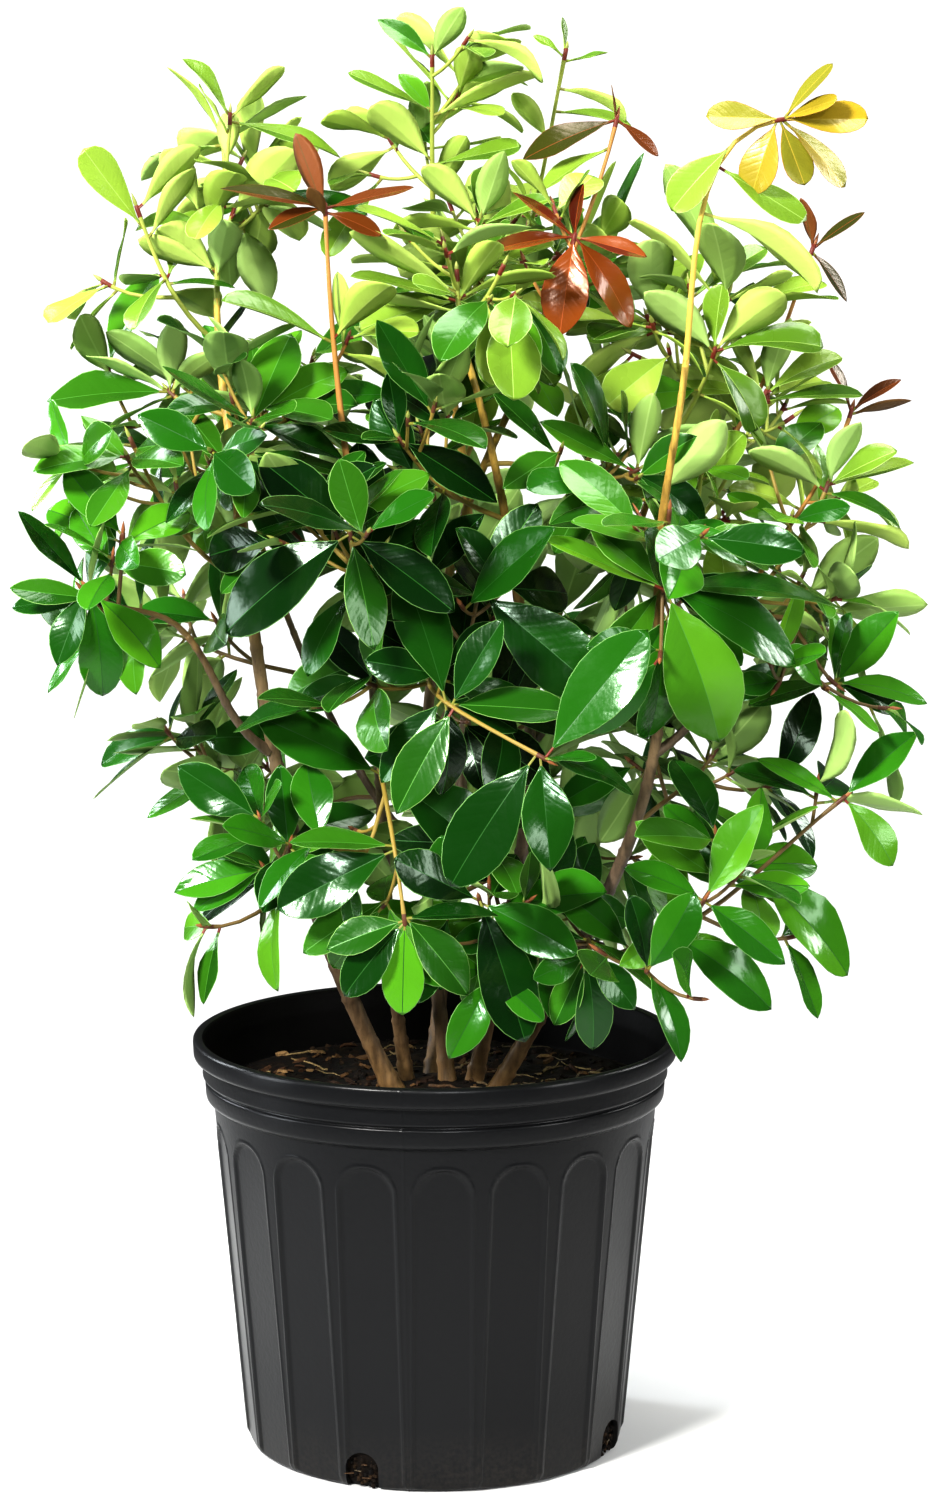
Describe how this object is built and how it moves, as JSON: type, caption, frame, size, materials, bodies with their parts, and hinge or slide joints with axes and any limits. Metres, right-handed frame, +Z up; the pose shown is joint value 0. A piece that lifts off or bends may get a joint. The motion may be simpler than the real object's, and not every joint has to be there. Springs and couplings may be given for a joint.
{
  "type": "potted cleyera shrub",
  "caption": "Potted cleyera: several slim stems rise from soil in a ribbed black nursery pot and carry a full, loose crown of leathery oval leaves with lime, bronze and gold tips.",
  "frame": {"origin": "centre of the pot's flat underside, at floor level", "axes": "+Z up, -Y towards the front of the plant, +X to the right as seen from the front"},
  "size_m": [0.5124, 0.4654, 0.828],
  "materials": {
    "pot": "satin black blow-moulded polyethylene",
    "soil": "dull, crumbly potting mix",
    "bark": "dull smooth bark with faint ring scars",
    "young_bark": "smooth young bark",
    "leaves_dark": "glossy leathery leaf",
    "leaves_mid": "glossy leathery leaf",
    "leaves_lime": "satin young leaf",
    "leaves_bronze": "satin young leaf",
    "leaves_red": "satin young leaf",
    "leaves_gold": "satin young leaf"
  },
  "bodies": {
    "root": {"pot": "pot", "soil": "soil", "stem_left": "bark", "stem_left_inner": "bark", "stem_centre": "bark", "stem_right_inner": "bark", "stem_right": "bark", "stem_back": "bark", "bough_left": "young_bark", "bough_high_left": "young_bark", "bough_red_bud": "young_bark", "bough_red": "young_bark", "bough_gold": "young_bark", "bough_right_low": "young_bark", "bough_far_right": "young_bark", "bough_high_right": "young_bark", "bough_top": "young_bark", "bough_back_left": "young_bark", "leaves_left_low": "leaves_dark", "leaves_left_shelf": "leaves_dark", "leaves_far_left": "leaves_dark", "leaves_left_crown": "leaves_mid", "leaves_left_front": "leaves_mid", "leaves_left_high": "leaves_mid", "leaves_far_left_tip": "leaves_lime", "leaves_left_top": "leaves_lime", "leaves_bronze": "leaves_bronze", "leaves_front_left": "leaves_mid", "leaves_front_low_left": "leaves_dark", "leaves_front_twig": "leaves_dark", "leaves_front_low": "leaves_dark", "leaves_right_drip": "leaves_dark", "leaves_centre_front": "leaves_dark", "leaves_gold_foot": "leaves_dark", "leaves_gold": "leaves_gold", "leaves_red_bud": "leaves_lime", "leaves_red": "leaves_red", "leaves_centre_high": "leaves_lime", "leaves_top": "leaves_lime", "leaves_top_right": "leaves_lime", "leaves_dusky_tip": "leaves_bronze", "leaves_right_high": "leaves_bronze", "leaves_right_red_node": "leaves_lime", "leaves_far_right_high": "leaves_bronze", "leaves_right_lime": "leaves_lime", "leaves_right_shoulder": "leaves_mid", "leaves_far_right": "leaves_dark", "leaves_right_shelf": "leaves_dark", "leaves_right_reach": "leaves_dark", "leaves_right_low": "leaves_dark", "leaves_inner_left": "leaves_mid", "leaves_inner_right": "leaves_mid", "leaves_back_low_left": "leaves_dark", "leaves_back_low": "leaves_dark", "leaves_back_low_right": "leaves_dark", "leaves_back_left": "leaves_dark", "leaves_back_left_high": "leaves_mid", "leaves_back": "leaves_dark", "leaves_back_right": "leaves_dark", "leaves_back_top": "leaves_mid"}
  },
  "joints": []
}
